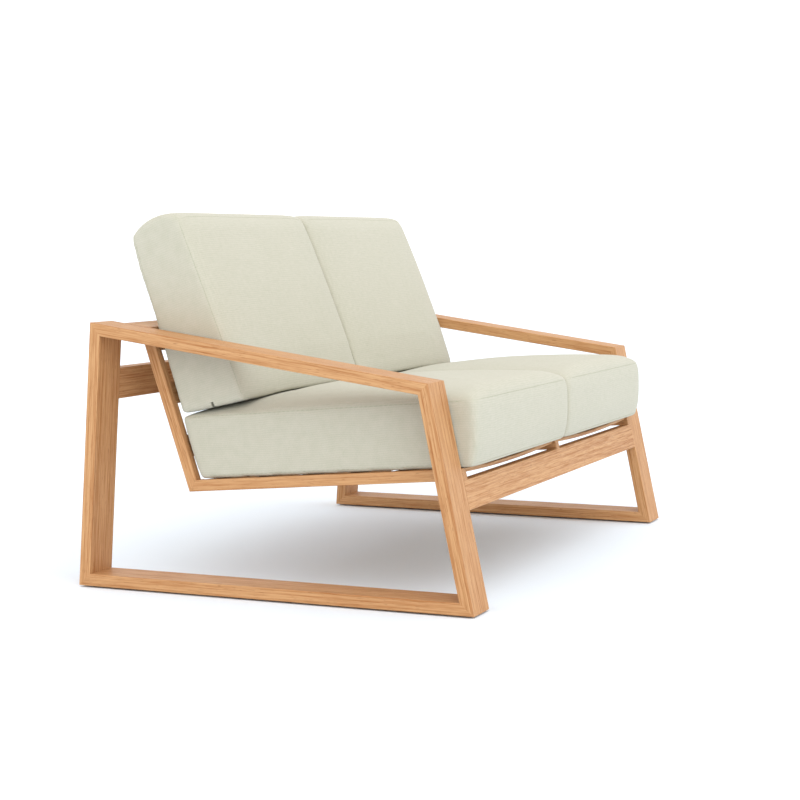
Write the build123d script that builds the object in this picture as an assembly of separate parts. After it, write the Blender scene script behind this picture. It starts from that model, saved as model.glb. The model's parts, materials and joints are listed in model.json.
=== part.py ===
from build123d import *

import math
import os
from dataclasses import dataclass

# Patio loveseat in slatted timber with four box cushions, in millimetres.
# The sitter looks towards -Y and +Z is up. Left and right are as seen by someone who
# stands in front of the loveseat, so left is -X. The origin is on the floor, in the middle.
# Most pieces are outlines of the side view, points (y, z), that are drawn out across the width.

# Side frames
OVERALL_WIDTH = 1422.0
FRAME_DEPTH = 900.0
ARM_REAR_HEIGHT = 563.0
ARM_FRONT_HEIGHT = 456.0
FRONT_LEG_SETBACK = 98.5
REAR_LEG_SETBACK = 35.7
BOARD_WIDTH = 90.0
BOARD_THICKNESS = 25.5
EASED_EDGE = 1.5
PLANED_ARRIS = 0.8

# Glides under the runners
GLIDE_THICKNESS = 4.0
GLIDE_RADIUS = 15.0
GLIDE_INSET = 45.0

# Cross rails between the side frames
RAIL_BOARD_THICKNESS = 24.0
FRONT_RAIL_HEIGHT = 60.5
REAR_RAIL_HEIGHT = 67.0
REAR_RAIL_UNDERSIDE = 395.0
TOP_RAIL_WIDTH = 62.5

# Seat frames: a seat rail mitred to a leaning back rail
SEAT_SLOPE = 5.0
BACK_LEAN = 18.7
CORNER_INSET = 220.5
CORNER_HEIGHT = 201.3
SEAT_RAIL_WIDTH = 22.0
SEAT_RAIL_DEPTH = 24.0

# Curved slats
SLAT_WIDTH = 48.0
TOP_SLAT_WIDTH = 22.0
SLAT_THICKNESS = 8.0
SLAT_SAG = 7.0
SLAT_DROP = 1.0
SLAT_HOUSING = 6.0
SEAT_SLAT_COUNT = 6
SEAT_SLAT_FRONT_MARGIN = 6.0
SEAT_SLAT_REAR_MARGIN = 8.2
BACK_SLAT_COUNT = 3
BACK_SLAT_LOW_MARGIN = 52.0
BACK_SLAT_HIGH_MARGIN = 1.8

# Hidden joinery; the splines in the side frames' mitres stay clear of the tenons across the width
TENON_LENGTH = 50.0
TENON_SHOULDER = 10.25
TENON_THICKNESS = 8.0
TENON_CLEARANCE = 1.0
SPLINE_WIDTH = BOARD_WIDTH - TENON_LENGTH - 2 * TENON_CLEARANCE
SPLINE_LENGTH = 20.0
SPLINE_THICKNESS = 6.0
RAIL_SPLINE_WIDTH = 12.0
RAIL_SPLINE_LENGTH = 18.0
RAIL_SPLINE_THICKNESS = 5.0
DOWEL_RADIUS = 3.0
DOWEL_INTO_SEAT_FRAME = 18.0
DOWEL_INTO_CROSS_RAIL = (RAIL_BOARD_THICKNESS - TENON_THICKNESS) / 2 - TENON_CLEARANCE

# Cushions
CUSHION_GAP = 1.0
CUSHION_SIDE_GAP = 4.0
CUSHION_REST_GAP = 0.4
CUSHION_FULLNESS = 4.0
BOXING_SWELL = 2.5
WADDING = 18.0

# Seat cushions, whose boxing stands square to the slope of the seat
SEAT_CUSHION_OVERHANG = 23.4
SEAT_CUSHION_REAR_GAP = 8.0
SEAT_CUSHION_BOXING = 136.0
SEAT_CUSHION_CROWN = 33.0

# Back cushions, by places up the back and out from the face of the back rails
BACK_CUSHION_LOW_PLACE = 150.0
BACK_CUSHION_HIGH_PLACE = 537.0
BACK_CUSHION_LOW_GAP = 12.0
BACK_CUSHION_RAIL_GAP = 1.5
BACK_CUSHION_BASE = 150.0
BACK_CUSHION_HEAD = 115.0
BACK_CUSHION_CROWN = 17.0
BACK_CUSHION_REAR_CROWN = 10.0
BACK_CUSHION_TOP_SWELL = 17.0

# Zip in the underside of each cushion
ZIP_GROOVE_WIDTH = 12.0
ZIP_GROOVE_DEPTH = 7.0
ZIP_END_MARGIN = 24.0
ZIP_TAPE_THICKNESS = 1.2
ZIP_CHAIN_WIDTH = 4.5
ZIP_CHAIN_HEIGHT = 1.4
SLIDER_LENGTH = 13.0
SLIDER_WIDTH = 9.0
SLIDER_HEIGHT = 3.8
SLIDER_CLEARANCE = 0.4
PULL_LENGTH = 22.0
PULL_WIDTH = 5.0
PULL_THICKNESS = 1.2
SEAT_ZIP_SETBACK = 110.0

# How far cutters run past what they cut
OVERRUN = 5.0

# Shares of the sizes that they follow
MITRE_REACH_SHARE = 2.0
SPLINE_SHARE = 0.55
SHOULDER_RISE_SHARE = 0.6
SEAT_SHOULDER_SHARES = (0.055, 0.14)
BACK_SHOULDER_SHARES = (0.11, 0.11)
TOP_SHOULDER_SHARES = (0.14, 0.2)
SECTION_SHARES = (0.25, 0.45, 0.6, 0.73, 0.83, 0.91, 0.965, 1.0)

# Powers of a section's share: how flat the crown is and how late the ends draw in
CROWN_POWER = 4
DRAW_POWER = 14

SIDES = {"left": -1, "right": 1}
LONG_ARRIS_COUNT = 4


@dataclass(frozen=True)
class SideLine:
    """An endless line in the side view, through (y, z) along the unit direction (dy, dz)."""

    y: float
    z: float
    dy: float
    dz: float

    @staticmethod
    def through(first, second):
        """Returns the line from one point towards another."""
        length = math.dist(first, second)
        return SideLine(*first, (second[0] - first[0]) / length, (second[1] - first[1]) / length)

    def at(self, distance):
        """Returns the point that lies a distance along the line."""
        return (self.y + self.dy * distance, self.z + self.dz * distance)

    def moved(self, distance):
        """Returns the parallel line that lies a distance to the right."""
        return SideLine(self.y + self.dz * distance, self.z - self.dy * distance, self.dy, self.dz)

    def meet(self, other):
        """Returns the point where two lines cross."""
        turn = self.dy * other.dz - self.dz * other.dy
        gap_y = other.y - self.y
        gap_z = other.z - self.z
        return self.at((gap_y * other.dz - gap_z * other.dy) / turn)

    def along(self, point):
        """Returns how far along the line a point lies."""
        return (point[0] - self.y) * self.dy + (point[1] - self.z) * self.dz

    def right(self):
        """Returns the direction to the right of the line as a vector."""
        return Vector(0, self.dz, -self.dy)

    def ahead(self):
        """Returns the direction of the line as a vector."""
        return Vector(0, self.dy, self.dz)


def between(first, second, share):
    """Returns the point that lies a share of the way from one side-view point to another."""
    return (first[0] + (second[0] - first[0]) * share, first[1] + (second[1] - first[1]) * share)


def midpoint(first, second):
    """Returns the point midway between two side-view points."""
    return between(first, second, 1 / 2)


def sides_of(corners):
    """Returns the lines from each corner of an outline to the next."""
    return [SideLine.through(corner, corners[(i + 1) % len(corners)]) for i, corner in enumerate(corners)]


def inset(corners, distances):
    """Returns the corners of an outline after each side has moved inwards by its own distance."""
    lines = [line.moved(distance) for line, distance in zip(sides_of(corners), distances)]
    return [lines[i].meet(lines[i - 1]) for i in range(len(lines))]


def prism(points, x_from, x_to):
    """Draws a side-view outline out across the width."""
    face = Plane.YZ.offset(x_from) * make_face(Polyline(*points, close=True))
    return extrude(face, x_to - x_from, dir=(1, 0, 0))


def without(piece, inserts):
    """Cuts the housings of splines, tenons, dowels or slats out of a piece."""
    for insert in inserts:
        piece = piece - insert
    return piece


def eased_strip(strip):
    """Takes the sharpness off the four long arrises of a rail or a slat."""
    return chamfer(strip.edges().sort_by(SortBy.LENGTH)[-LONG_ARRIS_COUNT:], PLANED_ARRIS)


# Side view of the side frame: its corners, clockwise from the front foot, and its outer lines
FRONT_FOOT = (-FRAME_DEPTH / 2, GLIDE_THICKNESS)
FRONT_TOP = (-FRAME_DEPTH / 2 + FRONT_LEG_SETBACK, GLIDE_THICKNESS + ARM_FRONT_HEIGHT)
REAR_TOP = (FRAME_DEPTH / 2 - REAR_LEG_SETBACK, GLIDE_THICKNESS + ARM_REAR_HEIGHT)
REAR_FOOT = (FRAME_DEPTH / 2, GLIDE_THICKNESS)
MEMBER_NAMES = ("front_leg", "arm", "rear_leg", "runner")
OUTER_CORNERS = (FRONT_FOOT, FRONT_TOP, REAR_TOP, REAR_FOOT)
INNER_CORNERS = inset(OUTER_CORNERS, [BOARD_THICKNESS] * len(OUTER_CORNERS))
FRONT_LINE, ARM_LINE, REAR_LINE = sides_of(OUTER_CORNERS)[:3]
INNER_HALF = OVERALL_WIDTH / 2 - BOARD_WIDTH

# Side view of the seat frame: lines forward along the seat and up the back
SEAT_CORNER = (FRAME_DEPTH / 2 - CORNER_INSET, GLIDE_THICKNESS + CORNER_HEIGHT)
SEAT_TURN = math.radians(SEAT_SLOPE)
BACK_TURN = math.radians(BACK_LEAN)
SEAT_UNDERSIDE = SideLine(*SEAT_CORNER, -math.cos(SEAT_TURN), math.sin(SEAT_TURN))
BACK_REAR = SideLine(*SEAT_CORNER, math.sin(BACK_TURN), math.cos(BACK_TURN))
SEAT_ANGLE = SEAT_UNDERSIDE.moved(SEAT_RAIL_DEPTH).meet(BACK_REAR.moved(-SEAT_RAIL_DEPTH))
SEAT_TOP = SideLine(*SEAT_ANGLE, SEAT_UNDERSIDE.dy, SEAT_UNDERSIDE.dz)
SEAT_FRONT = SEAT_TOP.meet(FRONT_LINE)
BACK_FRONT = SideLine(*SEAT_ANGLE, BACK_REAR.dy, BACK_REAR.dz)


def side_loop(side):
    """Makes one side frame as a whole loop with eased arrises, before the mitres divide it."""
    x_from, x_to = sorted((side * INNER_HALF, side * OVERALL_WIDTH / 2))
    loop = prism(OUTER_CORNERS, x_from, x_to) - prism(INNER_CORNERS, x_from, x_to)
    return fillet(loop.edges().filter_by(Axis.X, reverse=True), EASED_EDGE)


def mitre_wedge(index):
    """Returns the outline between two mitre planes, which holds one member of a side frame."""
    after = (index + 1) % len(OUTER_CORNERS)
    return (
        between(INNER_CORNERS[index], OUTER_CORNERS[index], MITRE_REACH_SHARE),
        between(INNER_CORNERS[after], OUTER_CORNERS[after], MITRE_REACH_SHARE),
        between(OUTER_CORNERS[after], INNER_CORNERS[after], MITRE_REACH_SHARE),
        between(OUTER_CORNERS[index], INNER_CORNERS[index], MITRE_REACH_SHARE),
    )


def side_frame(side):
    """Makes the four mitred members of one side frame by name."""
    loop = side_loop(side)
    half = OVERALL_WIDTH / 2 + OVERRUN
    return {name: loop & prism(mitre_wedge(i), -half, half) for i, name in enumerate(MEMBER_NAMES)}


def mitre_spline(outer, inner, x_middle, width, length, thickness):
    """Makes the spline that crosses a mitre squarely."""
    y, z = between(outer, inner, SPLINE_SHARE)
    mitre = SideLine.through(outer, inner)
    plane = Plane(origin=(x_middle, y, z), x_dir=(1, 0, 0), z_dir=mitre.ahead())
    return plane * Box(width, length, thickness)


def side_splines(side):
    """Makes the splines in the four mitres of one side frame."""
    x_middle = side * (INNER_HALF + BOARD_WIDTH / 2)
    return [
        mitre_spline(outer, inner, x_middle, SPLINE_WIDTH, SPLINE_LENGTH, SPLINE_THICKNESS)
        for outer, inner in zip(OUTER_CORNERS, INNER_CORNERS)
    ]


def glides():
    """Makes the round glides under both ends of both runners."""
    x_middle = INNER_HALF + BOARD_WIDTH / 2
    y_middle = FRAME_DEPTH / 2 - GLIDE_INSET
    glide = Cylinder(GLIDE_RADIUS, GLIDE_THICKNESS, align=(Align.CENTER, Align.CENTER, Align.MIN))
    return [Pos(x, y, 0) * glide for x in (-x_middle, x_middle) for y in (-y_middle, y_middle)]


@dataclass(frozen=True)
class CrossRail:
    """A board between the side frames, to the right of a line of the side view."""

    line: SideLine
    start: float
    width: float
    thickness: float

    def outline(self):
        """Returns the corners of the board's end, the two on the line first."""
        inner = self.line.moved(self.thickness)
        end = self.start + self.width
        return [self.line.at(end), self.line.at(self.start), inner.at(self.start), inner.at(end)]

    def tenons(self):
        """Makes the loose tenons at both ends of the board."""
        y, z = self.line.moved(self.thickness / 2).at(self.start + self.width / 2)
        tenon = Box(TENON_LENGTH, self.width - 2 * TENON_SHOULDER, TENON_THICKNESS)
        return [
            Plane(origin=(x, y, z), x_dir=(1, 0, 0), z_dir=self.line.right()) * tenon
            for x in (-INNER_HALF, INNER_HALF)
        ]


# Cross rails in the side view. The front rail's top is planed to the slope of the seat, and the
# top rail's upper front arris lies in line with the front faces of the back rails
FRONT_RAIL_TOP = SEAT_UNDERSIDE.meet(FRONT_LINE)
FRONT_RAIL = CrossRail(
    line=FRONT_LINE,
    start=FRONT_LINE.along(FRONT_RAIL_TOP) - FRONT_RAIL_HEIGHT,
    width=FRONT_RAIL_HEIGHT,
    thickness=RAIL_BOARD_THICKNESS,
)
FRONT_RAIL_BACK = FRONT_LINE.moved(RAIL_BOARD_THICKNESS)
FRONT_RAIL_REAR_TOP = FRONT_RAIL_BACK.meet(SEAT_UNDERSIDE)
FRONT_RAIL_OUTLINE = [*FRONT_RAIL.outline()[:-1], FRONT_RAIL_REAR_TOP]

REAR_LEG_INNER = REAR_LINE.moved(BOARD_THICKNESS)
REAR_RAIL_LEVEL = SideLine(0, GLIDE_THICKNESS + REAR_RAIL_UNDERSIDE, 1, 0)
REAR_RAIL = CrossRail(
    line=REAR_LINE,
    start=REAR_LEG_INNER.along(REAR_LEG_INNER.meet(REAR_RAIL_LEVEL)) - REAR_RAIL_HEIGHT,
    width=REAR_RAIL_HEIGHT,
    thickness=BOARD_THICKNESS,
)
TOP_RAIL_ARRIS = BACK_FRONT.meet(ARM_LINE)
TOP_RAIL = CrossRail(
    line=ARM_LINE,
    start=ARM_LINE.along(TOP_RAIL_ARRIS),
    width=TOP_RAIL_WIDTH,
    thickness=RAIL_BOARD_THICKNESS,
)
TOP_RAIL_UNDERSIDE = ARM_LINE.moved(RAIL_BOARD_THICKNESS)


def cross_rail(outline):
    """Makes a cross rail between the inner faces of the side frames."""
    return eased_strip(prism(outline, -INNER_HALF, INNER_HALF))


# Outlines of the seat rail and the back rail in the side view, each from its mitre
SEAT_RAIL_OUTLINE = (
    SEAT_CORNER,
    SEAT_ANGLE,
    SEAT_FRONT,
    FRONT_RAIL_TOP,
)
BACK_RAIL_OUTLINE = (
    SEAT_CORNER,
    SEAT_ANGLE,
    BACK_FRONT.meet(TOP_RAIL_UNDERSIDE),
    BACK_REAR.meet(TOP_RAIL_UNDERSIDE),
)
SEAT_FRAME_PLACES = {
    "left": -INNER_HALF + SEAT_RAIL_WIDTH / 2,
    "centre": 0.0,
    "right": INNER_HALF - SEAT_RAIL_WIDTH / 2,
}
BAY_INNER = SEAT_RAIL_WIDTH / 2
BAY_OUTER = INNER_HALF - SEAT_RAIL_WIDTH
BAY_HALF = (BAY_OUTER - BAY_INNER) / 2
BAY_MIDDLE = (BAY_OUTER + BAY_INNER) / 2


def seat_frame_rail(outline, x_middle):
    """Makes a seat rail or a back rail with eased arrises."""
    return eased_strip(prism(outline, x_middle - SEAT_RAIL_WIDTH / 2, x_middle + SEAT_RAIL_WIDTH / 2))


def rail_spline(x_middle):
    """Makes the spline in the mitre of one seat frame."""
    return mitre_spline(
        SEAT_CORNER,
        SEAT_ANGLE,
        x_middle,
        RAIL_SPLINE_WIDTH,
        RAIL_SPLINE_LENGTH,
        RAIL_SPLINE_THICKNESS,
    )


def dowel(x, place, direction):
    """Makes a dowel that leaves a seat frame at a side-view place along a direction."""
    plane = Plane(origin=Vector(x, *place) - direction * DOWEL_INTO_SEAT_FRAME, z_dir=direction)
    length = DOWEL_INTO_SEAT_FRAME + DOWEL_INTO_CROSS_RAIL
    return plane * Cylinder(DOWEL_RADIUS, length, align=(Align.CENTER, Align.CENTER, Align.MIN))


def seat_frame_dowels(x_middle):
    """Makes the dowels that join one seat frame to the front rail and to the top rail."""
    front_place = midpoint(FRONT_RAIL_TOP, FRONT_RAIL_REAR_TOP)
    top_place = midpoint(*BACK_RAIL_OUTLINE[2:])
    return [
        dowel(x_middle, front_place, -SEAT_UNDERSIDE.right()),
        dowel(x_middle, top_place, BACK_FRONT.ahead()),
    ]


def slat_places():
    """Returns each slat's name, its plane at the front or lower edge, and its width."""
    places = {}
    seat_first = SEAT_TOP.along(SEAT_FRONT) - SEAT_SLAT_FRONT_MARGIN
    seat_last = SEAT_SLAT_REAR_MARGIN + SLAT_WIDTH
    seat_pitch = (seat_first - seat_last) / (SEAT_SLAT_COUNT - 1)
    back_last = BACK_FRONT.along(BACK_RAIL_OUTLINE[2]) - BACK_SLAT_HIGH_MARGIN - TOP_SLAT_WIDTH
    back_pitch = (back_last - BACK_SLAT_LOW_MARGIN) / (BACK_SLAT_COUNT - 1)
    for side_name, side in SIDES.items():
        x = side * BAY_MIDDLE
        for number in range(SEAT_SLAT_COUNT):
            y, z = SEAT_TOP.at(seat_first - number * seat_pitch)
            plane = Plane(origin=(x, y, z), x_dir=(1, 0, 0), z_dir=SEAT_TOP.ahead())
            places[f"{side_name}_seat_slat_{number + 1}"] = (plane, SLAT_WIDTH)
        for number in range(BACK_SLAT_COUNT):
            y, z = BACK_FRONT.at(BACK_SLAT_LOW_MARGIN + number * back_pitch)
            plane = Plane(origin=(x, y, z), x_dir=(1, 0, 0), z_dir=-BACK_FRONT.ahead())
            width = TOP_SLAT_WIDTH if number == BACK_SLAT_COUNT - 1 else SLAT_WIDTH
            places[f"{side_name}_back_slat_{number + 1}"] = (plane, width)
    return places


def slat_blank(plane, width, top_edges, top):
    """Draws a slat's section, seen along its width, out rearwards or up the back."""
    half = BAY_HALF + SLAT_HOUSING
    low = -SLAT_DROP - SLAT_THICKNESS
    under = ThreePointArc((-half, low), (0, low - SLAT_SAG), (half, low))
    ends = [Line((half, low), (half, top)), Line((-half, top), (-half, low))]
    section = make_face([under, *ends, top_edges])
    return plane * extrude(section, width, dir=(0, 0, -1))


def slat(plane, width):
    """Makes a curved slat with eased arrises, long enough for its housings."""
    half = BAY_HALF + SLAT_HOUSING
    over = ThreePointArc((half, -SLAT_DROP), (0, -SLAT_DROP - SLAT_SAG), (-half, -SLAT_DROP))
    return eased_strip(slat_blank(plane, width, over, -SLAT_DROP))


def slat_housing(plane, width):
    """Makes the cutter of a slat's two housings, which are open at the rails' faces."""
    half = BAY_HALF + SLAT_HOUSING
    return slat_blank(plane, width, Line((half, OVERRUN), (-half, OVERRUN)), OVERRUN)


@dataclass(frozen=True)
class CushionSide:
    """One side of a cushion's outline.

    The side swells by its swell at the ends of the cushion and by its crown more at mid width.
    Its fullness is how far its two corners stand out between the ends. The shoulder shares are
    the shares of its length that the two shoulders of a crown take.
    """

    swell: float
    crown: float
    fullness: float = CUSHION_FULLNESS
    shoulder_shares: tuple = ()


@dataclass(frozen=True)
class CushionForm:
    """A box cushion: the corners of its ends, clockwise from the lower rear one, and its sides."""

    corners: tuple
    sides: tuple

    def section_corners(self, share):
        """Returns the corners of the side outline at a share of the half width."""
        filling = 1 - abs(share) ** DRAW_POWER
        return inset(self.corners, [-side.fullness * filling for side in self.sides])


FLAT_UNDERSIDE = CushionSide(swell=0, crown=0, fullness=0)
CUSHION_HALF = (INNER_HALF - CUSHION_SIDE_GAP - CUSHION_GAP / 2) / 2
CUSHION_MIDDLE = CUSHION_GAP / 2 + CUSHION_HALF


def crown_arc(first, second, swell, shoulder_shares):
    """Draws the shallow arc over the top of a crown, from one shoulder to the other."""
    length = math.dist(first, second)
    chord = SideLine.through(first, second)
    shoulders = chord.moved(-swell * SHOULDER_RISE_SHARE)
    near = shoulders.at(length * shoulder_shares[0])
    far = shoulders.at(length * (1 - shoulder_shares[1]))
    return ThreePointArc(near, chord.moved(-swell).at(length / 2), far)


def side_edges(first, second, swell, shoulder_shares):
    """Draws one side of a cushion's outline as a line, an arc, or a crown with two shoulders."""
    if swell == 0:
        return [Line(first, second)]
    if not shoulder_shares:
        middle = SideLine.through(first, second).moved(-swell).at(math.dist(first, second) / 2)
        return [ThreePointArc(first, middle, second)]
    over = crown_arc(first, second, swell, shoulder_shares)
    near_shoulder = TangentArc(over @ 0, first, tangent=-(over % 0))
    far_shoulder = TangentArc(over @ 1, second, tangent=over % 1)
    return [near_shoulder, over, far_shoulder]


def cushion_section(form, share):
    """Draws the side outline of a cushion at a share of its half width."""
    swelling = 1 - abs(share) ** CROWN_POWER
    corners = form.section_corners(share)
    edges = []
    for i, side in enumerate(form.sides):
        after = corners[(i + 1) % len(corners)]
        swell = side.swell + side.crown * swelling
        edges.extend(side_edges(corners[i], after, swell, side.shoulder_shares))
    return make_face(edges)


def cushion_outer(form, x_middle):
    """Makes a crowned cushion with drawn-in ends from side outlines at places across its width."""
    sections = []
    for share in (*[-share for share in reversed(SECTION_SHARES)], 0.0, *SECTION_SHARES):
        x = x_middle + share * CUSHION_HALF
        sections.append(Plane.YZ.offset(x) * cushion_section(form, share))
    return loft(sections, ruled=True)


def cushion_core(form, x_middle):
    """Makes the block of foam inside a cushion's wadding and cover."""
    block = inset(form.corners, [WADDING] * len(form.corners))
    half = CUSHION_HALF - WADDING
    return prism(block, x_middle - half, x_middle + half)


def seat_cushion_form():
    """Returns the form of a seat cushion, which lies on the seat rails."""
    underside = SEAT_TOP.moved(CUSHION_REST_GAP)
    seam = SEAT_TOP.moved(SEAT_CUSHION_BOXING)
    front = SideLine(SEAT_FRONT[0] - SEAT_CUSHION_OVERHANG, 0, 0, 1)
    rear = BACK_FRONT.moved(-SEAT_CUSHION_REAR_GAP)
    boxing = CushionSide(BOXING_SWELL, 0)
    crown = CushionSide(BOXING_SWELL, SEAT_CUSHION_CROWN, shoulder_shares=SEAT_SHOULDER_SHARES)
    return CushionForm(
        corners=(rear.meet(underside), front.meet(underside), front.meet(seam), rear.meet(seam)),
        sides=(FLAT_UNDERSIDE, boxing, crown, boxing),
    )


def back_rest_line(seat_form):
    """Returns the line at mid width that touches a seat cushion's crown at its rear shoulder."""
    crown = seat_form.sides[2]
    seams = seat_form.section_corners(0)[2:]
    over = crown_arc(*seams, crown.swell + crown.crown, crown.shoulder_shares)
    shoulder = over @ 1
    direction = over % 1
    return SideLine(shoulder.X, shoulder.Y, direction.X, direction.Y)


def back_place(up, out):
    """Returns the side-view point a distance up the back and a distance out from the back rails."""
    return BACK_FRONT.moved(-out).at(up)


def back_cushion_form(seat_form):
    """Returns the form of a back cushion.

    It stands on the seat cushion, leans on the top rail's arris and tapers upwards.
    """
    underside = back_rest_line(seat_form).moved(-CUSHION_REST_GAP)
    rear_filling = CUSHION_FULLNESS + BOXING_SWELL + BACK_CUSHION_REAR_CROWN
    rear_low = back_place(BACK_CUSHION_LOW_PLACE, BACK_CUSHION_LOW_GAP)
    rear_rest = back_place(BACK_FRONT.along(TOP_RAIL_ARRIS), BACK_CUSHION_RAIL_GAP + rear_filling)
    rear = SideLine.through(rear_low, rear_rest)
    head = SideLine(*BACK_FRONT.at(BACK_CUSHION_HIGH_PLACE), -BACK_FRONT.dz, BACK_FRONT.dy)
    rear_high = rear.meet(head)
    front_high = head.at(head.along(rear_high) + BACK_CUSHION_HEAD)
    front_low = back_place(BACK_CUSHION_LOW_PLACE, BACK_CUSHION_LOW_GAP + BACK_CUSHION_BASE)
    front = SideLine.through(front_low, front_high)
    return CushionForm(
        corners=(rear.meet(underside), front.meet(underside), front_high, rear_high),
        sides=(
            FLAT_UNDERSIDE,
            CushionSide(BOXING_SWELL, BACK_CUSHION_CROWN, shoulder_shares=BACK_SHOULDER_SHARES),
            CushionSide(BACK_CUSHION_TOP_SWELL, 0, shoulder_shares=TOP_SHOULDER_SHARES),
            CushionSide(BOXING_SWELL, BACK_CUSHION_REAR_CROWN),
        ),
    )


def zip_plane(form, share, x_middle):
    """Returns the plane of a zip, with +Y forward in the underside and +Z into the cushion."""
    y, z = between(*form.corners[:2], share)
    underside = SideLine.through(*form.corners[:2])
    return Plane(origin=(x_middle, y, z), x_dir=(-1, 0, 0), z_dir=underside.right())


def groove_cutter():
    """Makes the groove of a zip, open below and at both ends of the cushion."""
    length = 2 * (CUSHION_HALF + OVERRUN)
    depth = ZIP_GROOVE_DEPTH + OVERRUN
    align = (Align.CENTER, Align.CENTER, Align.MAX)
    return Pos(0, 0, ZIP_GROOVE_DEPTH) * Box(length, ZIP_GROOVE_WIDTH, depth, align=align)


def zip_chain():
    """Makes the tape on the groove's ceiling with its closed chain."""
    length = 2 * (CUSHION_HALF - ZIP_END_MARGIN)
    align = (Align.CENTER, Align.CENTER, Align.MAX)
    tape = Box(length, ZIP_GROOVE_WIDTH, ZIP_TAPE_THICKNESS, align=align)
    chain = Box(length, ZIP_CHAIN_WIDTH, ZIP_TAPE_THICKNESS + ZIP_CHAIN_HEIGHT, align=align)
    return Pos(0, 0, ZIP_GROOVE_DEPTH) * (tape + chain)


def zip_slider():
    """Makes the slider, closed at the end of its chain, with its pull laid flat along the groove."""
    high = ZIP_GROOVE_DEPTH - ZIP_TAPE_THICKNESS - SLIDER_CLEARANCE
    place = CUSHION_HALF - ZIP_END_MARGIN - SLIDER_LENGTH / 2
    channel_width = ZIP_CHAIN_WIDTH + 2 * SLIDER_CLEARANCE
    align = (Align.CENTER, Align.CENTER, Align.MAX)
    pull_align = (Align.MIN, Align.CENTER, Align.MIN)
    body = Box(SLIDER_LENGTH, SLIDER_WIDTH, SLIDER_HEIGHT, align=align)
    channel = Box(SLIDER_LENGTH, channel_width, ZIP_CHAIN_HEIGHT, align=align)
    pull = Box(PULL_LENGTH, PULL_WIDTH, PULL_THICKNESS, align=pull_align)
    return Pos(place, 0, high) * (body - channel + Pos(0, 0, -SLIDER_HEIGHT) * pull)


def cushion(name, form, zip_share, x_middle):
    """Makes one cushion's cover, foam core, zip and slider by name."""
    core = cushion_core(form, x_middle)
    plane = zip_plane(form, zip_share, x_middle)
    return {
        f"{name}_cover": cushion_outer(form, x_middle) - core - plane * groove_cutter(),
        f"{name}_core": core,
        f"{name}_zip": plane * zip_chain(),
        f"{name}_zip_slider": plane * zip_slider(),
    }


def group(solids):
    """Joins separate solids of one kind into one node."""
    return Compound(children=list(solids))


def frame_pieces():
    """Makes every timber piece, the hidden joinery and the glides by name."""
    splines = {side_name: side_splines(side) for side_name, side in SIDES.items()}
    tenons = FRONT_RAIL.tenons() + REAR_RAIL.tenons() + TOP_RAIL.tenons()
    dowels = []
    for x_middle in SEAT_FRAME_PLACES.values():
        dowels += seat_frame_dowels(x_middle)
    places = slat_places()
    housings = [slat_housing(*place) for place in places.values()]

    pieces = {}
    for side_name, side in SIDES.items():
        for member_name, member in side_frame(side).items():
            pieces[f"{side_name}_{member_name}"] = without(member, splines[side_name] + tenons)
    pieces["front_cross_rail"] = without(cross_rail(FRONT_RAIL_OUTLINE), tenons + dowels)
    pieces["rear_cross_rail"] = without(cross_rail(REAR_RAIL.outline()), tenons)
    pieces["top_cross_rail"] = without(cross_rail(TOP_RAIL.outline()), tenons + dowels)
    for name, x_middle in SEAT_FRAME_PLACES.items():
        inserts = [*housings, *dowels, rail_spline(x_middle)]
        pieces[f"{name}_seat_rail"] = without(seat_frame_rail(SEAT_RAIL_OUTLINE, x_middle), inserts)
        pieces[f"{name}_back_rail"] = without(seat_frame_rail(BACK_RAIL_OUTLINE, x_middle), inserts)
    for name, place in places.items():
        pieces[name] = slat(*place)

    pieces["mitre_splines"] = group(splines["left"] + splines["right"])
    pieces["cross_rail_tenons"] = group(tenons)
    pieces["seat_frame_splines"] = group(rail_spline(x) for x in SEAT_FRAME_PLACES.values())
    pieces["seat_frame_dowels"] = group(dowels)
    pieces["glides"] = group(glides())
    return pieces


def cushion_pieces():
    """Makes the pieces of the two seat cushions and the two back cushions by name."""
    seat_form = seat_cushion_form()
    back_form = back_cushion_form(seat_form)
    seat_zip_share = SEAT_ZIP_SETBACK / math.dist(*seat_form.corners[:2])
    pieces = {}
    for side_name, side in SIDES.items():
        x_middle = side * CUSHION_MIDDLE
        pieces.update(cushion(f"{side_name}_seat_cushion", seat_form, seat_zip_share, x_middle))
        pieces.update(cushion(f"{side_name}_back_cushion", back_form, 1 / 2, x_middle))
    return pieces


def main():
    """Writes one STEP file for each piece."""
    os.makedirs("parts", exist_ok=True)
    for name, piece in (frame_pieces() | cushion_pieces()).items():
        export_step(piece, f"parts/{name}.step")


main()
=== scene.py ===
"""A patio loveseat in slatted teak with four box cushions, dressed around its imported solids."""

import json
import logging
import math
from dataclasses import dataclass
from enum import Enum

import bpy
import numpy as np
from mathutils import Matrix, Vector
from mathutils.bvhtree import BVHTree
from mathutils.kdtree import KDTree


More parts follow.
